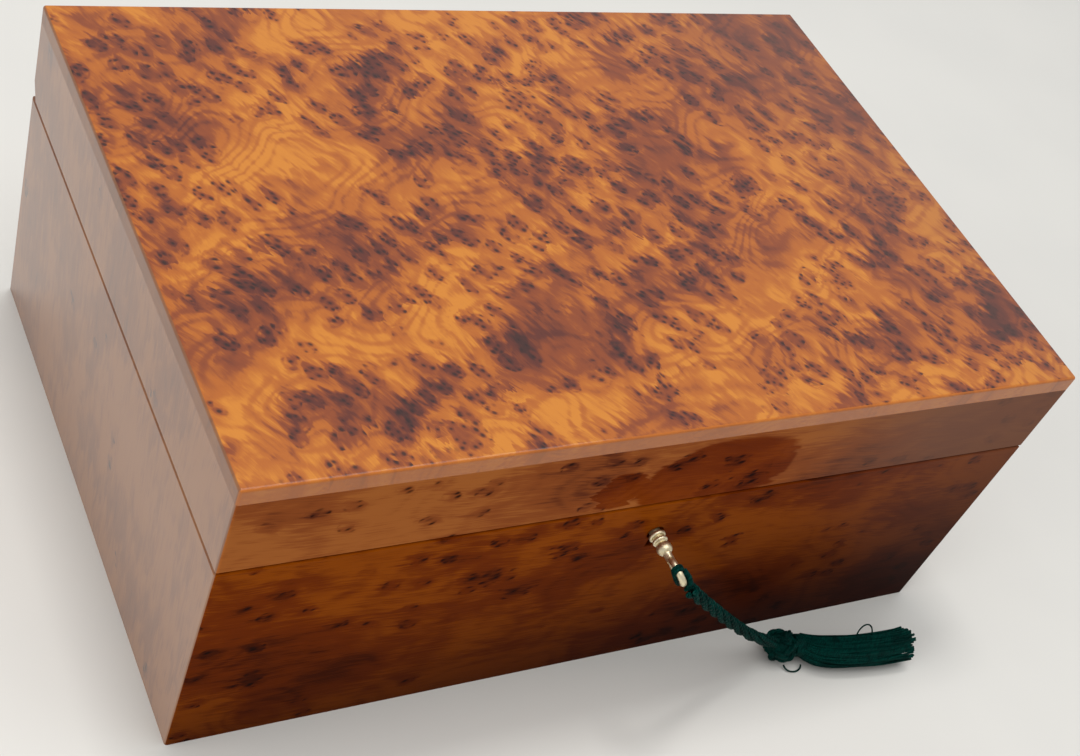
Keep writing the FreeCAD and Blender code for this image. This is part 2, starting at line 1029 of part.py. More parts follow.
# Degrees from the line of the tassel at which the facets of the knot meet
HEAD_ANGLES = range(45, 171, 21)
head_place = (
    size("head_right"),
    -half_depth - size("head_out"),
    size("head_radius") + size("head_lift"),
)
CORD_POINTS = [
    (3.3, -21.3, 69.6),
    (23.0, -20.5, 51.2),
    (46.0, -18.3, 29.9),
    (62.6, -16.3, 16.6),
    (72.4, -15.3, 10.3),
]


# Share of the shorter run at a corner that its arc takes up
ARC_SHARE = 0.45


def tube_path(points):
    """Straight runs joined by arcs that are as large as the shorter run allows."""
    edges = []
    here = points[0]
    for before, corner, after in zip(points, points[1:], points[2:]):
        back, ahead = (before - corner), (after - corner)
        half_turn = (math.pi - back.getAngle(ahead)) / 2
        cut = ARC_SHARE * min(back.Length, ahead.Length)
        start = corner + back.normalize() * cut
        end = corner + ahead.normalize() * cut
        radius = cut / math.tan(half_turn)
        print("cord arc radius %.1f mm" % radius)
        away = (start + end) * 0.5 - corner
        to_centre = math.hypot(cut, radius)
        through = corner + away.normalize() * (to_centre - radius)
        edges.append(Part.LineSegment(here, start).toShape())
        edges.append(Part.Arc(start, through, end).toShape())
        here = end
    edges.append(Part.LineSegment(here, points[-1]).toShape())
    return Part.Wire(edges)


def tassel_cord():
    front = -half_depth.value
    points = [FreeCAD.Vector(x, front + y, z) for x, y, z in CORD_POINTS]
    path = tube_path(points)
    radius = size("cord_radius").value
    start = Part.Circle(points[0], points[1] - points[0], radius)
    tube = path.makePipe(Part.Face(Part.Wire(start.toShape())))
    expected = math.pi * radius * radius * path.Length
    print("cord length %.1f mm" % path.Length)
    print("cord volume %.4f of section x length" % (tube.Volume / expected))
    cord = doc.addObject("Part::Feature", "tassel_cord")
    cord.Shape = tube
    return keep(cord, "tassel_cord")


def place_on_tassel(thing):
    thing.Placement.Rotation = FreeCAD.Rotation(FreeCAD.Vector(0, 0, -1), size("skirt_turn").value)
    for axis, length in zip("xyz", head_place):
        bind(thing, ".Placement.Base." + axis, length)


def tassel_piece(label, outline):
    """A piece turned about the line of the tassel, which starts at the middle of the head."""
    body = new_body(label)
    sketch = new_sketch(body, label + "_sketch", "XY", 0)
    add_polygon(sketch, outline)
    turn(body, label + "_turned", sketch, "H_Axis")
    place_on_tassel(body)
    return keep(body, label)


def tassel():
    """The knot, which is flat where the throat leaves it, the throat and the skirt of threads."""
    head = size("head_radius")
    round_side = [
        (head * math.cos(math.radians(angle)), head * math.sin(math.radians(angle)))
        for angle in HEAD_ANGLES
    ]
    head_end = round_side[0][0]
    tassel_piece("tassel_head", [(head_end, 0), *round_side, (-head, 0)])
    throat = size("throat_radius")
    throat_end = head_end + size("throat_length")
    tassel_piece("tassel_throat", rectangle((head_end, 0), (throat_end, throat)))
    skirt_end = throat_end + size("skirt_length")
    tassel_piece(
        "tassel_skirt",
        [
            (throat_end, 0),
            (throat_end, throat),
            (throat_end + size("skirt_shoulder"), size("skirt_radius")),
            (skirt_end, size("skirt_radius")),
            (skirt_end, 0),
        ],
    )


base_front_board()
base_back_board()
base_side_board("left")
base_side_board("right")
base_floor_panel()
lid_top_panel()
lid_front_rail()
lid_back_rail()
lid_side_rail("left")
lid_side_rail("right")
for hinge_side in hinge_x:
    hinge(hinge_side)
lock_case()
lock_cap()
lock_drill_pin()
lock_bolt()
lock_spring()
link_plate()
key()
tassel_loop()
tassel_cord()
tassel()

doc.recompute()

# Nothing is written unless every object is sound
faults = [
    "%s: %s" % (thing.Name, state)
    for thing in doc.Objects
    for state in thing.State
    if state in ("Invalid", "Error")
]
for sub_part in sub_parts:
    shape = sub_part.Shape
    if shape.isNull() or not shape.isValid() or not shape.Solids:
        faults.append("%s: bad shape" % sub_part.Label)
if faults:
    raise RuntimeError("; ".join(faults))

os.makedirs("parts", exist_ok=True)
for sub_part in sub_parts:
    sub_part.Shape.exportStep("parts/%s.step" % sub_part.Label)
    print(sub_part.Label, len(sub_part.Shape.Solids), round(sub_part.Shape.Volume, 2))
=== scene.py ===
import json
import math
import random

import bmesh
import bpy
from mathutils import Euler, Matrix, Vector


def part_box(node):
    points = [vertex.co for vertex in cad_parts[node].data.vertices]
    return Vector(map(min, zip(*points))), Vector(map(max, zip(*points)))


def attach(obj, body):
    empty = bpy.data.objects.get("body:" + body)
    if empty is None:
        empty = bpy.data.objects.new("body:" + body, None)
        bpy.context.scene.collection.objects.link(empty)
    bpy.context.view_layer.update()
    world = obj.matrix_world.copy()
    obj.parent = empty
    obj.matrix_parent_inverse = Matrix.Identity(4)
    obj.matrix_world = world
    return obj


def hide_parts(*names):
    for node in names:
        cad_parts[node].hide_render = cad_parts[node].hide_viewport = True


# Looks of the thuya burl keepsake box, its key and its tassel, in metres

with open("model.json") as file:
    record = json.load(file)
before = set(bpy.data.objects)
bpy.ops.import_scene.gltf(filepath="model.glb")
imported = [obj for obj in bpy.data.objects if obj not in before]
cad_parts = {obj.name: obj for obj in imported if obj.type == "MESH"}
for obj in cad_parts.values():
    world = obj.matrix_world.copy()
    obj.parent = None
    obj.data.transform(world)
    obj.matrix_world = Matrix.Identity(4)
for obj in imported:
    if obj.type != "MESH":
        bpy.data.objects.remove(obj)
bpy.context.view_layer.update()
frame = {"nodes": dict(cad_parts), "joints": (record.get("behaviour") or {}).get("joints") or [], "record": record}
nodes = frame["nodes"]
joints = {joint["name"]: joint for joint in frame["joints"]}
MM = 0.001

# Places that the frame gives, and those of the part's own key and tassel
FRONT_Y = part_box("base_front_board")[0].y
KEY_AXIS = Vector(joints["key_turn"]["pos_m"])
KEY_TURNED = math.radians(33)
HEAD_MIDDLE = Vector((77, -115, 6.7)) * MM
SKIRT_TURNED = math.radians(11)


# Camera, solved from seven corners of the box and its seam in the photograph
CAMERA_LENS = 53.81
CAMERA_SENSOR = 36
CAMERA_SHIFT = (0.05807, 0.10324)
CAMERA_PLACE = (-0.28696, -0.33068, 0.43391)
CAMERA_TURNS = (41.1277, -16.9993, -23.7768)


def camera():
    data = bpy.data.cameras.new("camera")
    data.lens = CAMERA_LENS
    data.sensor_width = CAMERA_SENSOR
    data.shift_x, data.shift_y = CAMERA_SHIFT
    data.clip_start = 0.01
    data.clip_end = 20
    view = bpy.data.objects.new("camera", data)
    view.location = CAMERA_PLACE
    view.rotation_euler = Euler([math.radians(turn) for turn in CAMERA_TURNS])
    bpy.context.scene.collection.objects.link(view)
    bpy.context.scene.camera = view


# Meshes
SHARP_ANGLE = math.radians(38)


def finish_mesh(name, bm, material, smooth=True):
    """Turns a bmesh into a piece, with its faces outwards."""
    bmesh.ops.recalc_face_normals(bm, faces=bm.faces)
    for face in bm.faces:
        face.smooth = smooth
    mesh = bpy.data.meshes.new(name)
    bm.to_mesh(mesh)
    bm.free()
    if smooth:
        mesh.set_sharp_from_angle(angle=SHARP_ANGLE)
    mesh.materials.append(material)
    piece = bpy.data.objects.new(name, mesh)
    bpy.context.scene.collection.objects.link(piece)
    return piece


def own_lines(origin, along, up):
    """Takes a piece drawn in mm in its own lines, X along and Z up, to its place in the frame."""
    turned = Matrix((along, up.cross(along), up)).transposed().to_4x4()
    return Matrix.Translation(origin) @ turned @ Matrix.Scale(MM, 4)


def put(bm, lines):
    bmesh.ops.transform(bm, matrix=lines, verts=bm.verts)


def circle(radius, corners):
    """The corners of a circle, as pairs."""
    turns = [2 * math.pi * k / corners for k in range(corners)]
    return [(radius * math.cos(turn), radius * math.sin(turn)) for turn in turns]


def add_ring(bm, places):
    return [bm.verts.new(place) for place in places]


def join_rings(bm, rings):
    """Faces from each ring to the next, all of the same number of corners."""
    for first, second in zip(rings, rings[1:]):
        for k in range(len(first)):
            after = (k + 1) % len(first)
            bm.faces.new((first[k], first[after], second[after], second[k]))


def ring_frames(points, closed=False):
    """Two directions square to the line at each point, carried along it without twist."""
    count = len(points)
    frames = []
    side = None
    for i, point in enumerate(points):
        before = points[i - 1] if i or closed else point
        after = points[(i + 1) % count] if i + 1 < count or closed else point
        along = (after - before).normalized()
        if side is None:
            side = along.orthogonal().normalized()
        side = (side - along * side.dot(along)).normalized()
        frames.append((side, along.cross(side).normalized()))
    return frames


def add_tube(bm, points, radius, sides, closed=False):
    """A round tube along the points, in mm or metres as they are."""
    rings = [
        add_ring(bm, [point + side * across + up * high for across, high in circle(radius, sides)])
        for point, (side, up) in zip(points, ring_frames(points, closed))
    ]
    if closed:
        join_rings(bm, rings + rings[:1])
    else:
        join_rings(bm, rings)
        bm.faces.new(reversed(rings[0]))
        bm.faces.new(rings[-1])


def arc(middle, radius, start, stop, steps):
    """Points in the XZ plane on an arc round the point that lies that far along X, in degrees."""
    points = []
    for i in range(steps + 1):
        angle = math.radians(start + (stop - start) * i / steps)
        points.append(Vector((middle + radius * math.cos(angle), 0, radius * math.sin(angle))))
    return points


def add_lathe(bm, profile, segments):
    """Turns (along, radius) points about the X axis."""
    rings = [
        add_ring(bm, [(along, across, high) for across, high in circle(radius, segments)])
        for along, radius in profile
    ]
    join_rings(bm, rings)
    bm.faces.new(rings[0])
    bm.faces.new(rings[-1])


# Material nodes
class Paint:
    """One material's nodes, each made by a short call. Sockets and plain values mix freely."""

    def __init__(self, name):
        self.material = bpy.data.materials.new(name)
        self.material.use_nodes = True
        self.tree = self.material.node_tree
        self.tree.nodes.clear()

    def node(self, kind, sockets=(), **settings):
        made = self.tree.nodes.new("ShaderNode" + kind)
        for name, value in settings.items():
            setattr(made, name, value)
        for key, value in dict(sockets).items():
            if isinstance(value, bpy.types.NodeSocket):
                self.tree.links.new(value, made.inputs[key])
            else:
                made.inputs[key].default_value = value
        return made

    def place(self):
        """Millimetres in the frame. They turn with the body that the piece rides on."""
        spot = self.node("TexCoord").outputs["Object"]
        return self.vector("SCALE", spot, scale=1 / MM)

    def vector(self, operation, first, second=None, scale=None):
        sockets = {0: first}
        if second is not None:
            sockets[1] = second
        if scale is not None:
            sockets["Scale"] = scale
        made = self.node("VectorMath", sockets, operation=operation)
        return made.outputs["Value" if operation in ("LENGTH", "DISTANCE", "DOT_PRODUCT") else 0]

    def math(self, operation, first, second=0.0):
        return self.node("Math", {0: first, 1: second}, operation=operation).outputs[0]

    def add(self, first, second):
        return self.math("ADD", first, second)

    def times(self, first, second):
        return self.math("MULTIPLY", first, second)

    def step(self, value, low, high, bottom=0.0, top=1.0):
        """A smooth step from bottom to top as the value goes from low to high."""
        sockets = {0: value, 1: low, 2: high, 3: bottom, 4: top}
        made = self.node("MapRange", sockets, interpolation_type="SMOOTHSTEP")
        return made.outputs[0]

    def noise(self, place, period, detail, roughness=0.5):
        """Noise whose features are that many millimetres apart."""
        sockets = {
            "Vector": place,
            "Scale": 1 / period,
            "Detail": detail,
            "Roughness": roughness,
        }
        return self.node("TexNoise", sockets).outputs[0]

    def noise_vector(self, place, period):
        """Noise in three directions, round 0."""
        sockets = {"Vector": place, "Scale": 1 / period, "Detail": 1}
        colour = self.node("TexNoise", sockets).outputs[1]
        return self.vector("SUBTRACT", colour, (0.5, 0.5, 0.5))

    def cells(self, place, period, randomness):
        """Distance to the nearest seed, in millimetres, and the cell's own random colour."""
        sockets = {"Vector": place, "Scale": 1 / period, "Randomness": randomness}
        made = self.node("TexVoronoi", sockets, voronoi_dimensions="2D")
        return self.times(made.outputs["Distance"], period), made.outputs["Color"]

    def red(self, colour):
        return self.node("SeparateColor", {0: colour}).outputs[0]

    def green(self, colour):
        return self.node("SeparateColor", {0: colour}).outputs[1]

    def stretch(self, place, angle, along, across):
        """The place turned by the angle in its own plane and squeezed, for grain and streaks."""
        turned = self.node(
            "VectorRotate",
            {"Vector": place, "Angle": -angle},
            rotation_type="Z_AXIS",
        ).outputs[0]
        return self.vector("MULTIPLY", turned, (1 / along, 1 / across, 1))

    def mix(self, share, first, second, blend="MIX"):
        made = self.node("Mix", data_type="RGBA", blend_type=blend)
        for key, value in (("Factor_Float", share), ("A_Color", first), ("B_Color", second)):
            socket = next(s for s in made.inputs if s.identifier == key)
            if isinstance(value, bpy.types.NodeSocket):
                self.tree.links.new(value, socket)
            else:
                socket.default_value = value
        return next(s for s in made.outputs if s.identifier == "Result_Color")

    def ramp(self, share, stops):
        """The colour at that share of the way along the stops."""
        made = self.node("ValToRGB", {0: share})
        made.color_ramp.interpolation = "EASE"
        elements = made.color_ramp.elements
        for element, (place, colour) in zip(elements, (stops[0], stops[-1])):
            element.position = place
            element.color = colour
        for place, colour in stops[1:-1]:
            elements.new(place).color = colour
        return made.outputs[0]

    def bump(self, height, distance, strength):
        sockets = {"Height": height, "Distance": distance, "Strength": strength}
        return self.node("Bump", sockets).outputs[0]

    def surface(self, sockets):
        shader = self.node("BsdfPrincipled", sockets)
        output = self.node("OutputMaterial")
        self.tree.links.new(shader.outputs[0], output.inputs["Surface"])
        return self.material


def srgb(red, green, blue):
    """A colour as the eye reads it, 0 to 255, turned into light."""
    return tuple(
        [
            value / 255 / 12.92 if value <= 10 else ((value / 255 + 0.055) / 1.055) ** 2.4
            for value in (red, green, blue)
        ]
        + [1.0]
    )


# The burl's pattern, the same on every face. An edge is where a smooth step starts and where it
# ends. Periods, COMB_SIZE, DOT_EDGE and SHADE_EDGE are in mm, the rest are shares
SWAY_PERIOD = 34
COMB_SIZE = (13, 2.3)
CLOUD_SIZE = (1.6, 1)
CLOUD_EDGE = (0.38, 0.72)
CLOUD_SHARE = 0.7
BAND_SHARE = 0.36
ELLIPSE_EDGE = (0.2, 1.8)
PLAIN_PERIOD = 40
PLAIN_EDGE = 0.1
CLEAR_EDGE = (0.3, 0.7)
CLUMP_SIZE = (1.35, 1)
CLUMP_RANDOMNESS = 0.9
CLUMP_CORE = 0.5
BARE_EDGE = 0.08
HALO_REACH = 1.3
EYE_KNOT_SIZE = (0.7, 0.6)
EYE_KNOT_SLANT = 30
EYE_RANDOMNESS = 0.85
EYE_SMALLEST = 0.55
EYE_CLUMP_EDGE = (0.1, 0.45)
EYE_MISSING_EDGE = (0.28, 0.44)
DOT_EDGE = (-0.45, 0.3)
DOT_DEPTH = 0.88
SHADE_EDGE = (-0.4, 1.5)
LINE_PERIOD = 34
LINE_SIZE = (1.4, 1)
LINE_RISE = 0.1
LINE_EDGE = (0, 0.7)
LINE_HALO_EDGE = (0.1, 0.6)
TURNED_EDGE = (0.3, 0.6)
PATCH_EDGE = (0.44, 0.54)
DOT_RELIEF = -0.6
FIBRE_RELIEF = 0.25
RELIEF_HEIGHT = 0.00004

TOP_BANDS = (
    # Long dark clouds of the top: middle across and deep, half length, half width, slant, in mm
    ((-104, -22), 40, 13, 32),
    ((-40, 30), 34, 12, 47),
    ((-30, -58), 38, 11, 18),
    ((44, -28), 30, 12, 32),
    ((62, 22), 26, 13, 110),
    ((-96, -78), 44, 8, 8),
    ((90, 60), 58, 24, 30),
    ((118, -8), 17, 14, 20),
    ((126, -70), 12, 26, 100),
    ((-130, 60), 30, 20, 60),
)
TOP_KNOTS = (
    # Strong eyes of the top: middle across and deep, and radius, in mm
    ((-82, -93), 8),
    ((-114, -82), 7),
    ((-16, 20), 6),
    ((-32, 32), 7),
    ((-52, 66), 8),
    ((0, 50), 9),
    ((-133, -32), 5),
    ((68, 2), 8),
    ((6, 14), 7),
    ((127, -8), 10),
    ((80, -46), 9),
    ((30, -86), 8),
    ((-10, -82), 6),
)


def flat_place(paint, face):
    """The place on a face of the box, laid flat: across and up, with the rest of it as depth."""
    place = paint.place()
    if face == "top":
        return place
    turned = {"front": (math.pi / 2, 0, 0), "side": (math.pi / 2, 0, math.pi / 2)}[face]
    sockets = {"Vector": place, "Rotation": turned}
    made = paint.node("VectorRotate", sockets, rotation_type="EULER_XYZ", invert=True)
    return made.outputs[0]


def ellipse(paint, place, middle, half_length, half_width, slant):
    """1 in the middle of an ellipse, falling to 0 at nearly twice its size."""
    moved = paint.vector("SUBTRACT", place, (middle[0], middle[1], 0))
    squeezed = paint.stretch(moved, math.radians(slant), half_length, half_width)
    flat = paint.vector("MULTIPLY", squeezed, (1, 1, 0))
    return paint.step(paint.vector("LENGTH", flat), *ELLIPSE_EDGE, 1, 0)


def most(paint, values):
    """The largest of the values."""
    largest = values[0]
    for value in values[1:]:
        largest = paint.math("MAXIMUM", largest, value)
    return largest


def moved_along(paint, place, angle, distance):
    """The place moved that many millimetres in the direction of the angle."""
    direction = (math.cos(angle), math.sin(angle), 0)
    return paint.vector("ADD", place, paint.vector("SCALE", direction, scale=distance))


def clumps(paint, place, look):
    """Distance from the middle of the nearest clump of eyes, and whether the clump is there."""
    slanted = paint.stretch(place, math.radians(look["streak_slant"]), *CLUMP_SIZE)
    distance, colour = paint.cells(slanted, look["clump_spacing"], CLUMP_RANDOMNESS)
    there = paint.step(paint.red(colour), look["bare_share"], look["bare_share"] + BARE_EDGE)
    return distance, there


def eyes(paint, place, clump, look):
    """Dark dots inside the clumps, each of its own size, and the soft shade round each."""
    slanted = paint.stretch(place, math.radians(look["eye_slant"]), look["eye_length"], 1)
    distance, colour = paint.cells(slanted, look["eye_spacing"], EYE_RANDOMNESS)
    largest = look["eye_size"]
    size = paint.step(paint.green(colour), 0, 1, largest * EYE_SMALLEST, largest)
    inside = paint.step(clump, *EYE_CLUMP_EDGE)
    inside = paint.times(inside, paint.step(paint.red(colour), *EYE_MISSING_EDGE))
    edge = paint.math("SUBTRACT", distance, size)
    dots = paint.times(paint.step(edge, *DOT_EDGE, 1, 0), inside)
    shades = paint.times(paint.step(edge, *SHADE_EDGE, 1, 0), inside)
    return dots, shades


def burl(name, face, look):
    """Lacquered burl: frayed clouds, clumps of eyes with halos, growth lines and fine grain."""
    paint = Paint(name)
    true_place = flat_place(paint, face)
    sway = paint.vector("SCALE", paint.noise_vector(true_place, SWAY_PERIOD), scale=look["sway"])
    place = paint.vector("ADD", true_place, sway)
    slant = math.radians(look["streak_slant"])

    # Stripes along the grain, which comb out the edges of everything dark
    comb = paint.stretch(place, slant, *COMB_SIZE)
    comb = paint.noise(comb, period=1, detail=2, roughness=0.55)
    comb = paint.math("SUBTRACT", comb, 0.5)
    frayed = moved_along(paint, place, slant, paint.times(comb, look["fray"]))

    # Clouds
    slanted = paint.stretch(frayed, math.radians(look["slant"]), *CLOUD_SIZE)
    clouds = paint.noise(slanted, look["cloud_size"], detail=3, roughness=0.55)
    clouds = paint.step(clouds, *CLOUD_EDGE)
    if look["bands"]:
        bands = most(paint, [ellipse(paint, frayed, *band) for band in look["bands"]])
        clouds = paint.add(paint.times(clouds, CLOUD_SHARE), paint.times(bands, BAND_SHARE))

    # Clumps of eyes
    level = look["plain_zone"]
    plain = paint.noise(place, PLAIN_PERIOD, detail=1)
    plain = paint.step(plain, level, level + PLAIN_EDGE)
    if look["clear"]:
        clear = most(paint, [ellipse(paint, place, *zone) for zone in look["clear"]])
        plain = paint.times(plain, paint.step(clear, *CLEAR_EDGE, 1, 0))
    reach = look["clump_radius"]
    distance, there = clumps(paint, place, look)
    there = paint.times(there, plain)
    clump = paint.times(paint.step(distance, CLUMP_CORE, reach, 1, 0), there)
    distance, there = clumps(paint, frayed, look)
    halo = paint.times(paint.step(distance, CLUMP_CORE, reach * HALO_REACH, 1, 0), there)
    halo = paint.times(halo, plain)
    if look["knots"]:
        long, wide = EYE_KNOT_SIZE
        knots = most(
            paint,
            [
                ellipse(paint, frayed, middle, size * long, size * wide, EYE_KNOT_SLANT)
                for middle, size in look["knots"]
            ],
        )
        clump = paint.math("MAXIMUM", clump, knots)
        halo = paint.math("MAXIMUM", halo, knots)
    dots, shades = eyes(paint, place, clump, look)

    # Growth lines that flow round the clouds and the clumps
    slanted = paint.stretch(place, math.radians(look["slant"]), *LINE_SIZE)
    height = paint.noise(slanted, LINE_PERIOD, detail=1, roughness=0.4)
    height = paint.add(height, paint.times(clump, LINE_RISE))
    lines = paint.math("PINGPONG", paint.times(height, look["line_count"]), 1)
    lines = paint.step(lines, *LINE_EDGE, 1, 0)
    lines = paint.times(lines, paint.step(halo, *LINE_HALO_EDGE, 1, 0))

    # How dark the wood is, and its colour there
    dark = paint.times(clouds, look["cloud_depth"])
    for part, depth in (
        (halo, look["halo_depth"]),
        (comb, look["comb_depth"]),
        (lines, look["line_depth"]),
        (shades, look["shade_depth"]),
    ):
        dark = paint.add(dark, paint.times(part, depth))
    fibre = paint.stretch(place, slant, *look["fibre"])
    fibre = paint.noise(fibre, period=1, detail=2, roughness=0.6)
    grain = paint.times(paint.math("SUBTRACT", fibre, 0.5), look["fibre_depth"])
    wood = paint.ramp(paint.add(dark, grain), look["colours"])
    wood = paint.mix(paint.times(dots, DOT_DEPTH), wood, look["eye"])

    # Tints: of the top's narrow edges; a darker patch where a face's painted reflection is left off; a painted
    # reflection towards a far end; and painted shade over the whole face, darker towards one side
    if face == "top":
        for direction, depth, tint in look["edges"]:
            normal = paint.node("TexCoord").outputs["Normal"]
            facing = paint.math("ABSOLUTE", paint.vector("DOT_PRODUCT", normal, direction))
            wood = paint.mix(paint.step(facing, *TURNED_EDGE, 0, depth), wood, tint)
    # A darker, more saturated patch, where the painted reflection in a face's lighter colours is left off
    if look["patch"]:
        zones, stop, depth, tint = look["patch"]
        inside = most(paint, [ellipse(paint, frayed, *zone) for zone in zones])
        across = paint.vector("DOT_PRODUCT", true_place, (1, 0, 0))
        patch = paint.step(inside, *PATCH_EDGE, 0, depth)
        patch = paint.times(patch, paint.step(across, stop - 1, stop + 1, 1, 0))
        wood = paint.mix(patch, wood, tint, "MULTIPLY")
    # Painted reflection: towards a far end the wood is mixed with a dull, greyish tint
    if look["painted_reflection"]:
        direction, low, high, depth, tint = look["painted_reflection"]
        reached = paint.vector("DOT_PRODUCT", frayed, direction)
        wood = paint.mix(paint.step(reached, low, high, 0, depth), wood, tint)
    # Painted shade over the whole face, stronger towards one side
    if look["shade"]:
        direction, low, high, tint = look["shade"]
        gradient = paint.vector("DOT_PRODUCT", true_place, direction)
        wood = paint.mix(paint.step(gradient, low, high), wood, tint, "MULTIPLY")

    relief = paint.add(paint.times(dots, DOT_RELIEF), paint.times(fibre, FIBRE_RELIEF))
    return paint.surface(
        {
            "Base Color": wood,
            "Roughness": 0.45,
            "Specular IOR Level": look["shine"],
            "Normal": paint.bump(relief, RELIEF_HEIGHT, strength=0.3),
            "Coat Weight": look["coat"],
            "Coat Roughness": look["gloss"],
            "Coat IOR": 1.5,
        }
    )


TOP_CLEAR = (
    # Zones without eyes: middle across and deep, half length, half width, slant, in mm
    ((-38, 4), 13, 9, -25),
    ((52, -44), 34, 8, 42),
    ((4, -86), 22, 9, -8),
    ((-46, -88), 14, 8, 5),
    ((96, -50), 22, 9, 0),
    ((62, 12), 12, 9, 30),
)
# The looks of the faces. Sizes are in mm and slants in degrees. A depth is how much darker a
# thing makes the wood, from 0 at the first of the colours to 1 at the last
TOP = {
    "sway": 10,
    "slant": 38,
    "cloud_size": 22,
    "bands": TOP_BANDS,
    "knots": TOP_KNOTS,
    "clear": TOP_CLEAR,
    "clump_spacing": 7.6,
    "clump_radius": 4.0,
    "bare_share": 0.12,
    "plain_zone": 0.36,
    "eye_spacing": 2.15,
    "eye_size": 0.68,
    "eye_slant": -50,
    "eye_length": 1.35,
    "cloud_depth": 0.6,
    "halo_depth": 0.36,
    "shade_depth": 0.2,
    "comb_depth": 0.42,
    "line_count": 30,
    "line_depth": 0.13,
    "fibre": (9, 0.3),
    "fibre_depth": 0.2,
    "streak_slant": -62,
    "fray": 16,
    "edges": (
        ((1, 0, 0), 0.85, srgb(122, 80, 52)),
        ((0, 1, 0), 0.7, srgb(188, 104, 26)),
    ),
    "colours": (
        (0.00, srgb(190, 117, 32)),
        (0.22, srgb(164, 88, 20)),
        (0.45, srgb(126, 58, 20)),
        (0.70, srgb(86, 34, 20)),
        (1.00, srgb(54, 22, 17)),
    ),
    "eye": srgb(36, 12, 8),
    "patch": None,
    # Painted reflection: the right end mixed a third of the way towards a dull, darker reddish brown
    "painted_reflection": ((1, 0.35, 0), 70, 160, 0.32, srgb(112, 66, 48)),
    "shade": None,
    "shine": 0.2,
    "coat": 0.7,
    "gloss": 0.05,
}
FRONT = dict(
    TOP,
    sway=5,
    slant=8,
    cloud_size=36,
    bands=(((8, 108), 26, 9, 20), ((40, 30), 40, 16, 20), ((-100, 20), 40, 12, 25)),
    knots=(
        ((-4, 108), 6),
        ((16, 104), 6),
        ((26, 94), 6),
        ((10, 92), 5),
        ((-56, 64), 6),
        ((-44, 54), 6),
        ((-34, 72), 5),
        ((-128, 30), 6),
        ((36, 60), 5),
    ),
    clear=(),
    cloud_depth=0.7,
    clump_spacing=9.5,
    clump_radius=3.4,
    bare_share=0.4,
    plain_zone=0.46,
    eye_size=0.66,
    eye_slant=24,
    eye_length=2.0,
    line_count=20,
    line_depth=0.08,
    halo_depth=0.3,
    comb_depth=0.3,
    fibre=(13, 0.5),
    fibre_depth=0.6,
    streak_slant=-4,
    fray=14,
    # Darker than the top's colours, in part painted shade of a face turned from the light
    colours=(
        (0.00, srgb(147, 71, 5)),
        (0.35, srgb(113, 44, 2)),
        (0.70, srgb(73, 24, 2)),
        (1.00, srgb(42, 13, 3)),
    ),
    eye=srgb(24, 8, 4),
    # Painted reflection of the floor: the right part mixed towards a greyish pink
    painted_reflection=((1, 0.4, 0), 70, 210, 0.55, srgb(118, 84, 72)),
    # Painted shade: the front darkens towards the bottom, a little more at the right
    shade=((0.0016, -0.0090, 0), -0.9, 0.25, srgb(98, 72, 66)),
    shine=0.01,
    coat=0.01,
    gloss=0.1,
)
RAIL = dict(
    FRONT,
    # Lighter than the front's colours: a painted reflection of the bright floor on the rail
    colours=(
        (0.00, srgb(172, 100, 46)),
        (0.35, srgb(146, 76, 34)),
        (0.70, srgb(98, 44, 22)),
        (1.00, srgb(60, 26, 14)),
    ),
    # A darker, more saturated patch in the middle, where that painted reflection is left off
    patch=((((12, 99), 29, 17, 8), ((-24, 98), 9, 9, 60)), 40, 1.0, srgb(200, 156, 72)),
    # A stronger painted reflection of the floor at the right
    painted_reflection=((1, 0.4, 0), 66, 150, 0.8, srgb(124, 90, 76)),
)
SIDE = dict(
    FRONT,
    bands=(),
    knots=(),
    cloud_depth=0.42,
    comb_depth=0.45,
    cloud_size=20,
    slant=84,
    bare_share=0.85,
    streak_slant=84,
    fray=18,
    line_count=14,
    colours=(
        (0.00, srgb(142, 87, 38)),
        (0.35, srgb(122, 70, 30)),
        (0.70, srgb(94, 50, 22)),
        (1.00, srgb(66, 34, 17)),
    ),
    painted_reflection=None,
    shade=None,
    shine=0.4,
    coat=1.0,
)


def plain_wood():
    """The unlacquered wood of the floor of the box."""
    paint = Paint("bare_floor_wood")
    place = paint.place()
    grain = paint.stretch(place, angle=0, along=40, across=1.2)
    grain = paint.noise(grain, period=1, detail=4, roughness=0.6)
    wood = paint.ramp(grain, ((0.3, srgb(190, 150, 104)), (0.7, srgb(150, 108, 70))))
    relief = paint.bump(grain, distance=0.0001, strength=0.3)
    return paint.surface({"Base Color": wood, "Roughness": 0.7, "Normal": relief})


# Metals
def metal(name, pale, dull, roughness):
    """Handled metal: a little tarnish in patches, fine scratches and an uneven shine."""
    paint = Paint(name)
    place = paint.place()
    patches = paint.noise(place, period=3, detail=3, roughness=0.6)
    scratches = paint.stretch(place, angle=0.5, along=2.5, across=0.12)
    scratches = paint.noise(scratches, period=1, detail=2, roughness=0.6)
    colour = paint.mix(paint.step(patches, 0.45, 0.75, 0.0, 0.7), pale, dull)
    shine = paint.add(
        paint.step(patches, 0.3, 0.8, roughness, roughness + 0.16),
        paint.times(scratches, 0.06),
    )
    return paint.surface(
        {
            "Base Color": colour,
            "Metallic": 1.0,
            "Roughness": shine,
            "Normal": paint.bump(scratches, distance=0.00003, strength=0.35),
        }
    )


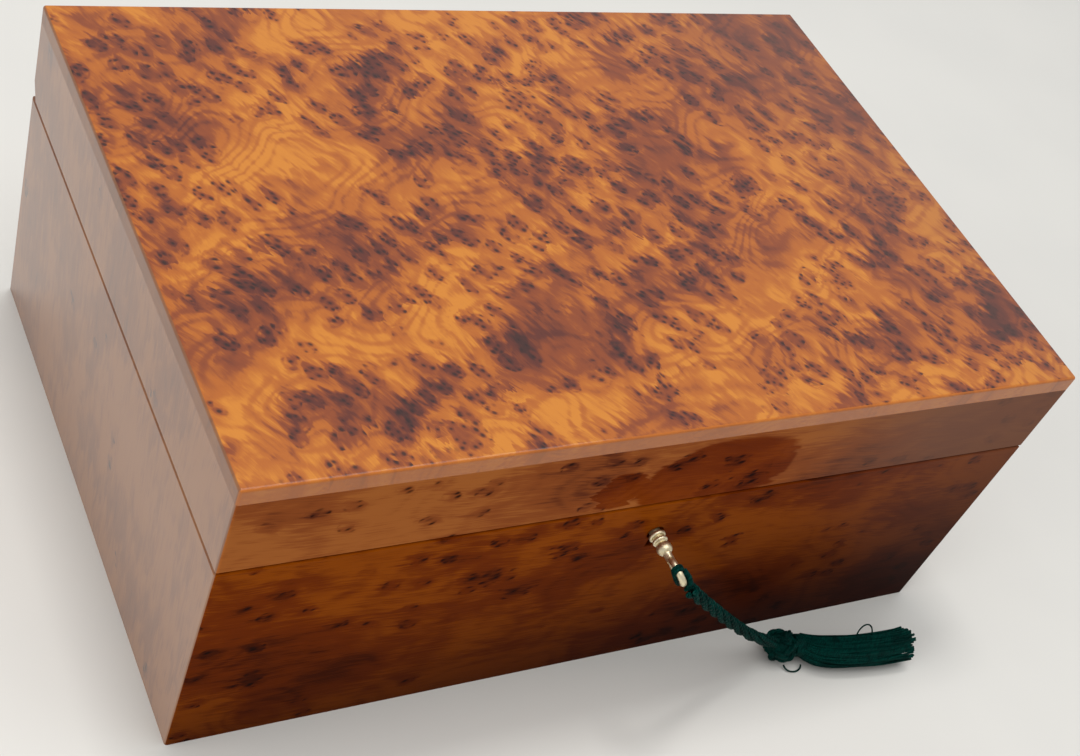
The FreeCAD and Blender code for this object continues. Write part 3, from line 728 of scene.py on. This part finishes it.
# Threads of the cord and tassel
def green_thread(name):
    """Silky dyed yarn: fine twisted fibres, darker between them."""
    paint = Paint(name)
    place = paint.place()
    fibre = paint.stretch(place, angle=0.7, along=2.4, across=0.16)
    fibre = paint.noise(fibre, period=1, detail=3, roughness=0.6)
    patches = paint.noise(place, period=5, detail=2)
    dark = srgb(0, 12, 12)
    light = srgb(0, 60, 52)
    colour = paint.mix(paint.step(fibre, 0.3, 0.7), dark, light)
    colour = paint.mix(paint.step(patches, 0.4, 0.7, 0.0, 0.5), colour, dark)
    return paint.surface(
        {
            "Base Color": colour,
            "Roughness": 0.55,
            "Specular IOR Level": 0.04,
            "Normal": paint.bump(fibre, distance=0.0001, strength=0.6),
        }
    )


# Cord, from the key to the knot: the part's own control points, in the frame
CORD_ROUTE = [
    Vector((x, y, z)) * MM
    for x, y, z in (
        (3.3, -121.3, 69.6),
        (23.0, -120.5, 51.2),
        (46.0, -118.3, 29.9),
        (62.6, -116.3, 16.6),
        (72.4, -115.3, 10.3),
    )
]
CORD_STEPS = 420
CORD_TURNS = 2.8
CORD_SLOWING = 0.25
CORD_OPENING = 0.3
CORD_OPENING_REACH = 0.05
STRANDS = 4
STRAND_OUT = 1.25 * MM
PLY_TURNS = 22
PLY_RADIUS = 0.72 * MM
PLY_OUT = 0.36 * MM
PLY_SIDES = 6


def route_points(route):
    """Points of the smooth line that the control points give."""
    curve = bpy.data.curves.new("route", "CURVE")
    curve.dimensions = "3D"
    spline = curve.splines.new("NURBS")
    spline.points.add(len(route) - 1)
    for point, place in zip(spline.points, route):
        point.co = (*place, 1)
    spline.order_u = 3
    spline.use_endpoint_u = True
    spline.resolution_u = 24
    line = bpy.data.objects.new("route", curve)
    mesh = bpy.data.meshes.new_from_object(line)
    points = [vertex.co.copy() for vertex in mesh.vertices]
    bpy.data.objects.remove(line)
    bpy.data.curves.remove(curve)
    bpy.data.meshes.remove(mesh)
    return points


def spread(points, count):
    """The line through the points, as that many even steps."""
    lengths = [0.0]
    for first, second in zip(points, points[1:]):
        lengths.append(lengths[-1] + (second - first).length)
    result = []
    j = 0
    for i in range(count):
        target = lengths[-1] * i / (count - 1)
        while j < len(lengths) - 2 and lengths[j + 1] < target:
            j += 1
        share = (target - lengths[j]) / (lengths[j + 1] - lengths[j])
        result.append(points[j].lerp(points[j + 1], share))
    return result


def wound(points, radius, turns, phase, opening=None, slowing=0.0):
    """A helix round the line. opening(share) changes its radius along the way."""
    frames = ring_frames(points)
    count = len(points)
    result = []
    for i, (point, (side, up)) in enumerate(zip(points, frames)):
        share = i / (count - 1)
        angle = phase + 2 * math.pi * turns * (share - slowing * share**3)
        out = radius * (opening(share) if opening else 1.0)
        result.append(point + side * (out * math.cos(angle)) + up * (out * math.sin(angle)))
    return result


def add_strand(bm, line, turns, out, radius):
    """A strand of two plies twisted round each other."""
    for ply in range(2):
        add_tube(bm, wound(line, out, turns, math.pi * ply), radius, PLY_SIDES)


def cord_opening(share):
    """How much wider than the rest the rope is at that share of its length."""
    return 1.0 + CORD_OPENING * math.exp(-share / CORD_OPENING_REACH)


def tassel_cord(material):
    """A rope of four strands, a little opened where it leaves the key."""
    path = route_points(CORD_ROUTE)
    line = spread(path, CORD_STEPS)
    bm = bmesh.new()
    for strand in range(STRANDS):
        phase = 2 * math.pi * strand / STRANDS
        strand_line = wound(line, STRAND_OUT, CORD_TURNS, phase, cord_opening, CORD_SLOWING)
        add_strand(bm, strand_line, PLY_TURNS, PLY_OUT, PLY_RADIUS)
    piece = finish_mesh("cord", bm, material)
    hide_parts("tassel_cord")
    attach(piece, "base")
    return piece, path


# Key, in mm along its axis from the front face outwards, with its bit down
KEY_LINES = own_lines(
    Vector((KEY_AXIS.x, FRONT_Y, KEY_AXIS.z)),
    Vector((0, -1, 0)),
    Vector((-math.sin(KEY_TURNED), 0, math.cos(KEY_TURNED))),
)
BARREL_END = -10.3
BARREL_RADIUS = 1.9
BORE_END = -1.8
BORE_RADIUS = 0.95
CHAMFER = 0.15
COLLAR = (0.6, 2.1, 2.85)
RING = (2.7, 4.0, 2.6)
RIM_DEPTH = 0.55
BALL_MIDDLE = 6.3
BALL_RADIUS = 2.6
NECK_START = 8.75
NECK_END = 11.4
NECK_RADIUS = 1.35
BIT_MIDDLE = (-7.6, 0, -3.9)
BIT_SIZE = (4.4, 1.6, 5.2)
BIT_ROUNDING = 0.2
BOW_ARC = 3.35
BOW_WIRE = 1.15
BOW_NEAR = 14.8
BOW_FAR = 16.3
CLOSED = 0.02


def bead(start, stop, radius):
    """The rounded rim of a ring between two places along the axis."""
    middle = (start + stop) / 2
    half = (stop - start) / 2
    steps = 8
    return [
        (
            middle - half * math.cos(math.pi * i / steps),
            radius - RIM_DEPTH + RIM_DEPTH * math.sin(math.pi * i / steps),
        )
        for i in range(steps + 1)
    ]


def key_profile():
    """From the bottom of the bore out round the barrel to the end of the neck."""
    ball = [
        (
            BALL_MIDDLE + BALL_RADIUS * math.sin(math.radians(angle)),
            BALL_RADIUS * math.cos(math.radians(angle)),
        )
        for angle in range(-50, 56, 5)
    ]
    return [
        (BORE_END, CLOSED),
        (BORE_END, BORE_RADIUS),
        (BARREL_END, BORE_RADIUS),
        (BARREL_END, BARREL_RADIUS - CHAMFER),
        (BARREL_END + CHAMFER, BARREL_RADIUS),
        (COLLAR[0], BARREL_RADIUS),
        *bead(*COLLAR),
        (COLLAR[1], BARREL_RADIUS),
        (RING[0], BARREL_RADIUS),
        *bead(*RING),
        (RING[1] + 0.02, BARREL_RADIUS),
        *ball,
        (NECK_START, NECK_RADIUS + 0.07),
        (NECK_START + 0.35, NECK_RADIUS),
        (NECK_END, NECK_RADIUS),
        (NECK_END, CLOSED),
    ]


def smooth_key(material):
    """Barrel with its bore, collar, ring, ball, neck, the oval wire bow and the bit."""
    bm = bmesh.new()
    add_lathe(bm, key_profile(), 40)
    bow = arc(BOW_NEAR, BOW_ARC, 90, 270, 20) + arc(BOW_FAR, BOW_ARC, -90, 90, 20)
    add_tube(bm, bow, BOW_WIRE, 18, closed=True)
    bit_place = Matrix.Translation(BIT_MIDDLE) @ Matrix.Diagonal((*BIT_SIZE, 1))
    bit = bmesh.ops.create_cube(bm, size=1, matrix=bit_place)["verts"]
    edges = list({edge for corner in bit for edge in corner.link_edges})
    bmesh.ops.bevel(
        bm, geom=edges, offset=BIT_ROUNDING, segments=3, affect="EDGES", profile=0.5
    )
    put(bm, KEY_LINES)
    piece = finish_mesh("key_smooth", bm, material)
    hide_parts("key")
    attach(piece, "key")


# The turns of one strand round the bow, in the key's own lines and in mm
WRAP_TURNS = 2
WRAP_START = 16.0
WRAP_END = 18.0
WRAP_TWISTS = 44
WRAP_STEPS = 300
WRAP_PLY_RADIUS = 0.42
WRAP_PLY_OUT = 0.32
WRAP_STRAND = WRAP_PLY_RADIUS + WRAP_PLY_OUT
WRAP_ACROSS = BOW_WIRE + WRAP_STRAND + 0.06
WRAP_DEEP = BOW_ARC + BOW_WIRE + WRAP_STRAND
WRAP_PHASE = 0.4
WRAP_WEAVE = 0.2
WRAP_SQUARENESS = 0.25
WRAP_BULGE = 0.3
LEADS = (
    # Places on the way of the strand's two ends to the rope: the middle, and half their distance
    ((WRAP_END - 1.2, WRAP_ACROSS, 0), (0, 0, 1.4)),
    ((WRAP_END + 0.8, WRAP_ACROSS + 0.9, -1.6), (0, 0, 1.3)),
    ((20.6, 1.5, -3.3), (0, 0.5, 0.9)),
)
LEAD_STEPS = 60
LEAD_TWISTS = 3
LEAD_PLY_OUT = PLY_OUT * 0.8
LEAD_PLY_RADIUS = PLY_RADIUS * 0.9


def cord_wraps(material):
    """The cord's turns round both sides of the bow, and its two ends on the way to the rope."""
    band = []
    for i in range(WRAP_STEPS + 1):
        share = i / WRAP_STEPS
        turn = 2 * math.pi * WRAP_TURNS * share + WRAP_PHASE
        squareness = WRAP_SQUARENESS * math.cos(2 * turn)
        band.append(
            Vector(
                (
                    WRAP_START + (WRAP_END - WRAP_START) * share + WRAP_WEAVE * math.sin(turn),
                    WRAP_ACROSS * math.cos(turn) * (1 - squareness),
                    WRAP_DEEP * math.sin(turn) * (1 + WRAP_BULGE * squareness),
                )
            )
        )
    bm = bmesh.new()
    add_strand(bm, band, WRAP_TWISTS, WRAP_PLY_OUT, WRAP_PLY_RADIUS)
    put(bm, KEY_LINES)
    for side in (-1, 1):
        route = [
            KEY_LINES @ Vector([place + out * side for place, out in zip(middle, half)])
            for middle, half in LEADS
        ]
        lead = spread(route_points(route), LEAD_STEPS)
        add_strand(bm, lead, LEAD_TWISTS, LEAD_PLY_OUT, LEAD_PLY_RADIUS)
    piece = finish_mesh("cord_wraps", bm, material)
    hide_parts("tassel_loop")
    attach(piece, "key")


# Tassel, in mm along its own line from the middle of the knot, with Y towards the box
TASSEL_LINES = own_lines(
    HEAD_MIDDLE,
    Vector((math.cos(SKIRT_TURNED), -math.sin(SKIRT_TURNED), 0)),
    Vector((0, 0, 1)),
)
CORE_RADIUS = 4.9
CORE_STEPS = 24
KNOT_RADIUS = 4.85
KNOT_RISE = 0.62
KNOT_REACH = math.radians(50)
KNOT_LEADS = 3
KNOT_BIGHTS = 5
KNOT_STEPS = 720
KNOT_PLIES = 3
KNOT_TWISTS = 18
KNOT_PLY_OUT = 0.62
KNOT_PLY_RADIUS = 0.66
THROAT_END = 8.9
THROAT = (
    (3.6, CLOSED),
    (3.6, 3.0),
    (4.6, 3.5),
    (6.8, 3.55),
    (THROAT_END, 3.9),
    (THROAT_END, CLOSED),
)
BINDING_START = 5.1
BINDING_LENGTH = 3.2
BINDING_TURNS = 7
BINDING_STEPS = 280
BINDING_RADIUS = 3.85
BINDING_THREAD = 0.4
SKIRT_END = 54.9
BUNDLE_START = 4.0
BUNDLE_SPREAD = 1.35
SPREAD_REACH = 0.09
BUNDLE_FLARE = 0.35
BUNDLE_SWING = -3.4
SWING_REACH = 0.1
THREADS = 190
THREAD_STEPS = 26
THREAD_START = THROAT_END - 0.4
THREAD_RADII = (0.34, 0.44)
LOCKS = 11
LOCK_DEPTH = 0.07
OUTER_THREADS = (0.9, 1.0)
INNER_THREADS = 0.85
LENGTH_CHANGES = (-3.2, 0.6)
WAVE_HEIGHTS = (0.06, 0.24)
WAVE_COUNTS = (0.5, 1.6)
WAVE_STARTS = (0, 6.28)
WAVE_RISE = 4
DRIFT = 0.16
SPLAY = 0.5
SPLAY_START = 0.85
SPLAY_RISE = 4
WOBBLE = 0.05
WOBBLE_PACE = 9
LOWEST = -HEAD_MIDDLE.z / MM + 0.45
STRAY_STEPS = 24
STRAYS = (
    # Threads that stand out in an arc: middle, half its length, rise of its top, and radius
    ((33.5, 0.4, 4.6), 3.3, (-0.6, 1.6, 5.4), 0.3),
    ((5.6, -5.0, -5.2), 3.6, (0, -2.4, -1.0), 0.34),
)


def tassel_piece(name, bm, node, material):
    put(bm, TASSEL_LINES)
    piece = finish_mesh(name, bm, material)
    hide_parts(node)
    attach(piece, "base")
    return piece


def on_ball(radius, along_turn, round_turn):
    """The place on a ball whose poles lie along X."""
    return Vector(
        (
            radius * math.sin(along_turn),
            radius * math.cos(along_turn) * math.cos(round_turn),
            radius * math.cos(along_turn) * math.sin(round_turn),
        )
    )


def tassel_knot(material):
    """A ball of a thick strand that passes over and under itself round a wound core."""
    bm = bmesh.new()
    core = []
    for i in range(CORE_STEPS + 1):
        angle = math.pi * i / CORE_STEPS
        core.append((-CORE_RADIUS * math.cos(angle), max(CLOSED, CORE_RADIUS * math.sin(angle))))
    add_lathe(bm, core, 32)
    middle = []
    for i in range(KNOT_STEPS):
        turn = 2 * math.pi * i / KNOT_STEPS
        height = KNOT_RADIUS + KNOT_RISE * math.sin(2 * KNOT_BIGHTS * turn)
        slope = KNOT_REACH * math.cos(KNOT_BIGHTS * turn)
        middle.append(on_ball(height, slope, KNOT_LEADS * turn + 0.4))
    for ply in range(KNOT_PLIES):
        line = []
        for i, point in enumerate(middle):
            along = (middle[(i + 1) % KNOT_STEPS] - middle[i - 1]).normalized()
            out = point.normalized()
            across = along.cross(out).normalized()
            angle = 2 * math.pi * (KNOT_TWISTS * i / KNOT_STEPS + ply / KNOT_PLIES)
            line.append(point + (across * math.cos(angle) + out * math.sin(angle)) * KNOT_PLY_OUT)
        add_tube(bm, line, KNOT_PLY_RADIUS, 8, closed=True)
    return tassel_piece("tassel_knot", bm, "tassel_head", material)


def tassel_binding(material):
    """The throat: the threads drawn together, bound by a few turns of thread."""
    bm = bmesh.new()
    add_lathe(bm, THROAT, 36)
    coil = []
    for i in range(BINDING_STEPS + 1):
        angle = 2 * math.pi * BINDING_TURNS * i / BINDING_STEPS
        along = BINDING_START + BINDING_LENGTH * i / BINDING_STEPS
        across, high = BINDING_RADIUS * math.cos(angle), BINDING_RADIUS * math.sin(angle)
        coil.append(Vector((along, across, high)))
    add_tube(bm, coil, BINDING_THREAD, 8)
    return tassel_piece("tassel_binding", bm, "tassel_throat", material)


def bundle_radius(share):
    """How far out the bundle of threads reaches along its length."""
    spreading = 1 - math.exp(-share / SPREAD_REACH)
    return BUNDLE_START + BUNDLE_SPREAD * spreading + BUNDLE_FLARE * share


def bundle_bend(share):
    """How far the bundle swings out to the front between the knot and its end."""
    return BUNDLE_SWING * (1 - math.exp(-share / SWING_REACH)) * (1 - share**3)


def thread_line(number, chance):
    """One thread of the bundle, each a golden angle on from the last, with its own waves."""
    turn = number * math.pi * (3 - math.sqrt(5))
    if number % 4:
        out = (1.0 + LOCK_DEPTH * math.cos(LOCKS * turn)) * chance.uniform(*OUTER_THREADS)
    else:
        out = math.sqrt(chance.random()) * INNER_THREADS
    length = SKIRT_END - THROAT_END + chance.uniform(*LENGTH_CHANGES)
    waves = [
        [chance.uniform(*span) for span in (WAVE_HEIGHTS, WAVE_COUNTS, WAVE_STARTS)]
        for _ in range(2)
    ]
    drift = chance.uniform(-DRIFT, DRIFT)
    splay = chance.uniform(0.0, SPLAY)
    line = []
    for i in range(THREAD_STEPS + 1):
        share = i / THREAD_STEPS
        reach = bundle_radius(share) * out + splay * max(0.0, share - SPLAY_START) * SPLAY_RISE
        angle = turn + drift * share + WOBBLE * math.sin(WOBBLE_PACE * share + number)
        across, high = (
            height * math.sin(2 * math.pi * count * share + start) * min(1, WAVE_RISE * share)
            for height, count, start in waves
        )
        line.append(
            Vector(
                (
                    THREAD_START + length * share,
                    bundle_bend(share) + reach * math.cos(angle) + across,
                    max(LOWEST, reach * math.sin(angle) + high),
                )
            )
        )
    return line


def stray_line(middle, half, rise):
    """An arc along the tassel, from one end of the stray thread to the other."""
    line = []
    for i in range(STRAY_STEPS + 1):
        angle = math.pi * i / STRAY_STEPS
        x, y, z = (start + out * math.sin(angle) for start, out in zip(middle, rise))
        line.append(Vector((x - half * math.cos(angle), y, z)))
    return line


def tassel_threads(material):
    """Fine threads, each with its own waves and its own length, and two that have strayed."""
    chance = random.Random(7)
    bm = bmesh.new()
    for number in range(THREADS):
        line = thread_line(number, chance)
        add_tube(bm, line, chance.uniform(*THREAD_RADII), 5)
    for middle, half, rise, radius in STRAYS:
        add_tube(bm, stray_line(middle, half, rise), radius, 6)
    return tassel_piece("tassel_threads", bm, "tassel_skirt", material)


# Screws, which hold the plates, in mm
SCREW_PROUD = 0.28
SCREW_SUNK = -0.5
SCREW_RIM = 20
SLOT_HALF = 0.26
SLOT_FLOOR = 0.06


def add_screw(bm, place, out, turn, radius):
    """A low raised head in two halves, with a slot between them over a round foot."""
    before = set(bm.verts)
    start = math.asin(SLOT_HALF / radius)
    for side in (-1, 1):
        half = []
        for i in range(SCREW_RIM + 1):
            angle = start + (math.pi - 2 * start) * i / SCREW_RIM
            half.append((radius * math.cos(angle), side * radius * math.sin(angle)))
        rings = [
            add_ring(bm, [(x * shrink, y * shrink, level) for x, y in half])
            for shrink, level in (
                (1.0, SCREW_SUNK),
                (1.0, SCREW_PROUD * 0.55),
                (0.93, SCREW_PROUD),
            )
        ]
        join_rings(bm, rings)
        bm.faces.new(rings[0])
        bm.faces.new(rings[-1])
    rim = circle(0.98 * radius, 2 * SCREW_RIM)
    foot = [add_ring(bm, [(x, y, level) for x, y in rim]) for level in (SCREW_SUNK, SLOT_FLOOR)]
    join_rings(bm, foot)
    bm.faces.new(foot[0])
    bm.faces.new(foot[1])
    made = [vertex for vertex in bm.verts if vertex not in before]
    lines = own_lines(Vector(place) * MM, Vector((1, 0, 0)), out)
    bmesh.ops.rotate(bm, cent=(0, 0, 0), matrix=Matrix.Rotation(turn, 3, "Z"), verts=made)
    bmesh.ops.transform(bm, matrix=lines, verts=made)


def screws(name, body, out, radius, places, material):
    """A group of screws, each with its slot turned its own way."""
    bm = bmesh.new()
    for number, place in enumerate(places):
        add_screw(bm, place, Vector(out), 0.5 + 1.3 * number, radius)
    piece = finish_mesh(name, bm, material)
    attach(piece, body)


# Pieces
camera()
thread = green_thread("silky_green")
lock_brass = metal("lock_brass", srgb(222, 184, 110), srgb(150, 112, 60), 0.3)
key_brass = metal("worn_key_brass", srgb(238, 226, 192), srgb(182, 154, 104), 0.32)
cord_piece, cord_path = tassel_cord(thread)
smooth_key(key_brass)
cord_wraps(thread)
tassel_ends = [tassel_knot(thread), tassel_binding(thread), tassel_threads(thread)]
PIN_Z = joints["lid_hinge"]["pos_m"][2] / MM
BASE_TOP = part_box("base_back_board")[1].z / MM
LID_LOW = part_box("lid_front_rail")[0].z / MM
LOCK_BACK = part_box("lock_case")[1].y / MM
LEAF_Y = 91.4
HINGE_MIDDLES = (-88, 88)
LINK_Y = -92.8
BIG_SCREW = 1.9
SMALL_SCREW = 1.7
SCREWS = (
    # Name, body, direction out of the plate, radius of the head, and places
    (
        "base_hinge_screws",
        "base",
        (0, 0, 1),
        BIG_SCREW,
        [(x + step, LEAF_Y, BASE_TOP) for x in HINGE_MIDDLES for step in (-17, 0, 17)],
    ),
    (
        "lid_hinge_screws",
        "lid",
        (0, 0, -1),
        BIG_SCREW,
        [(x + step, LEAF_Y, PIN_Z - 0.6) for x in HINGE_MIDDLES for step in (-8.5, 8.5)],
    ),
    (
        "lock_screws",
        "base",
        (0, 1, 0),
        SMALL_SCREW,
        [(x, LOCK_BACK, z) for x in (-21.5, 21.5) for z in (62, 83)],
    ),
    ("link_screws", "lid", (0, 0, -1), BIG_SCREW, [(x, LINK_Y, LID_LOW) for x in (-18, 18)]),
)
for group in SCREWS:
    screws(*group, lock_brass)


# Materials on the part's own solids
def paint_node(name, material):
    node = nodes[name]
    node.data.materials.clear()
    node.data.materials.append(material)


FINISHES = {
    "burl_top": burl("lacquered_top", "top", TOP),
    "burl_front": burl("lacquered_front", "front", FRONT),
    "burl_side": burl("lacquered_side", "side", SIDE),
    "plain_wood": plain_wood(),
    "brass": lock_brass,
    "key_metal": key_brass,
    "spring_steel": metal("blued_steel", srgb(190, 192, 196), srgb(120, 122, 128), 0.3),
    "green_cord": thread,
}
for subpart in frame["record"]["subparts"]:
    paint_node(subpart["node"], FINISHES[subpart["material_slot"]])
paint_node("lid_front_rail", burl("lacquered_rail", "front", RAIL))


# Room. From GLOW_START to GLOW_FULL, in mm, the floor comes to glow for the camera
FLOOR_REACH = 6
FLOOR_CORNERS = 96
GLOW_START = 700
GLOW_FULL = 3000
GLOW = 0.42
LAMPS = (
    # Name, place, width and depth in metres, watts, and whether shiny things show it
    ("ceiling", (0.0, -0.15, 1.7), (2.0, 1.4), 17, True),
    ("above", (0.0, 0.3, 1.7), (0.3, 0.3), 8.5, True),
    ("left", (-1.6, -0.2, 0.9), (1.2, 1.2), 10, False),
)
WORLD_COLOUR = (0.93, 0.94, 0.96, 1)
WORLD_STRENGTH = 0.5
WORLD_SEEN = (("Is Camera Ray", 0.36), ("Is Glossy Ray", 0.1))


def pale_stone():
    """A pale floor, a little mottled, with a painted glow far out that only the camera sees, so it stays pale
    where the lamps don't reach.
    """
    paint = Paint("floor_white")
    place = paint.place()
    mottled = paint.step(paint.noise(place, period=90, detail=3), 0.3, 0.7, 0, 0.05)
    shade = paint.mix(mottled, srgb(211, 209, 203), srgb(150, 152, 156))
    seen = paint.node("LightPath").outputs["Is Camera Ray"]
    far = paint.step(paint.vector("LENGTH", place), GLOW_START, GLOW_FULL, 0, GLOW)
    return paint.surface(
        {
            "Base Color": shade,
            "Roughness": 0.45,
            "Emission Color": (1, 0.99, 0.975, 1),
            "Emission Strength": paint.times(seen, far),
        }
    )


def round_floor():
    bm = bmesh.new()
    bm.faces.new(add_ring(bm, [(x, y, 0) for x, y in circle(FLOOR_REACH, FLOOR_CORNERS)]))
    finish_mesh("floor", bm, pale_stone(), smooth=False)


def area_light(name, place, size, power, glossy):
    """A lamp that looks at the middle of the box's underside."""
    data = bpy.data.lights.new(name, "AREA")
    data.shape = "RECTANGLE"
    data.size, data.size_y = size
    data.energy = power
    lamp = bpy.data.objects.new(name, data)
    lamp.location = place
    lamp.rotation_euler = (Vector() - Vector(place)).to_track_quat("-Z", "Y").to_euler()
    lamp.visible_glossy = glossy
    bpy.context.scene.collection.objects.link(lamp)


def pale_world():
    """Soft light from all sides, which the camera and shiny things see as a white room."""
    world = bpy.data.worlds.new("room")
    world.use_nodes = True
    tree = world.node_tree
    path = tree.nodes.new("ShaderNodeLightPath")
    background = tree.nodes["Background"]
    background.inputs["Color"].default_value = WORLD_COLOUR
    plain = tree.nodes.new("ShaderNodeValue")
    plain.outputs[0].default_value = WORLD_STRENGTH
    strength = plain.outputs[0]
    for ray, more in WORLD_SEEN:
        added = tree.nodes.new("ShaderNodeMath")
        added.operation = "MULTIPLY_ADD"
        added.inputs[1].default_value = more
        tree.links.new(path.outputs[ray], added.inputs[0])
        tree.links.new(strength, added.inputs[2])
        strength = added.outputs[0]
    tree.links.new(strength, background.inputs["Strength"])
    return world


round_floor()
for lamp in LAMPS:
    area_light(*lamp)
bpy.context.scene.world = pale_world()
bpy.context.scene.view_settings.view_transform = "Standard"
